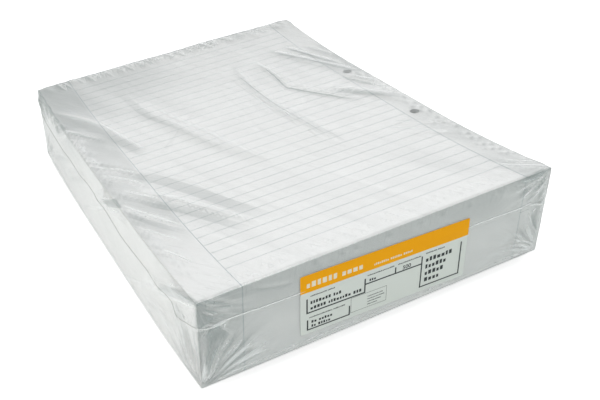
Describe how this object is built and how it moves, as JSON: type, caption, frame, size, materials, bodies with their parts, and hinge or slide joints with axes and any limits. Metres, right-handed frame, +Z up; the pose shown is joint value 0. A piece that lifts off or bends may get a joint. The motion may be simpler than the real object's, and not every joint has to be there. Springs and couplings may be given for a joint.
{
  "type": "pack of loose-leaf paper",
  "caption": "Pack of ruled, two-hole loose-leaf paper, shrink-wrapped in clear film, with a stuck-on label on one short end.",
  "frame": {"origin": "on the ground under the middle of the pack", "axes": "+Z up; +Y along the sheets, away from the labelled end; +X across them, towards the filing holes"},
  "size_m": [0.215, 0.3017, 0.0611],
  "materials": {
    "paper": "uncoated white paper with thin grey-blue ruling",
    "film": "clear shrink film, glossy, creased",
    "label": "white self-adhesive paper label with an orange band"
  },
  "bodies": {
    "root": {"sheets": "paper", "film": "film", "label": "label"}
  },
  "joints": []
}
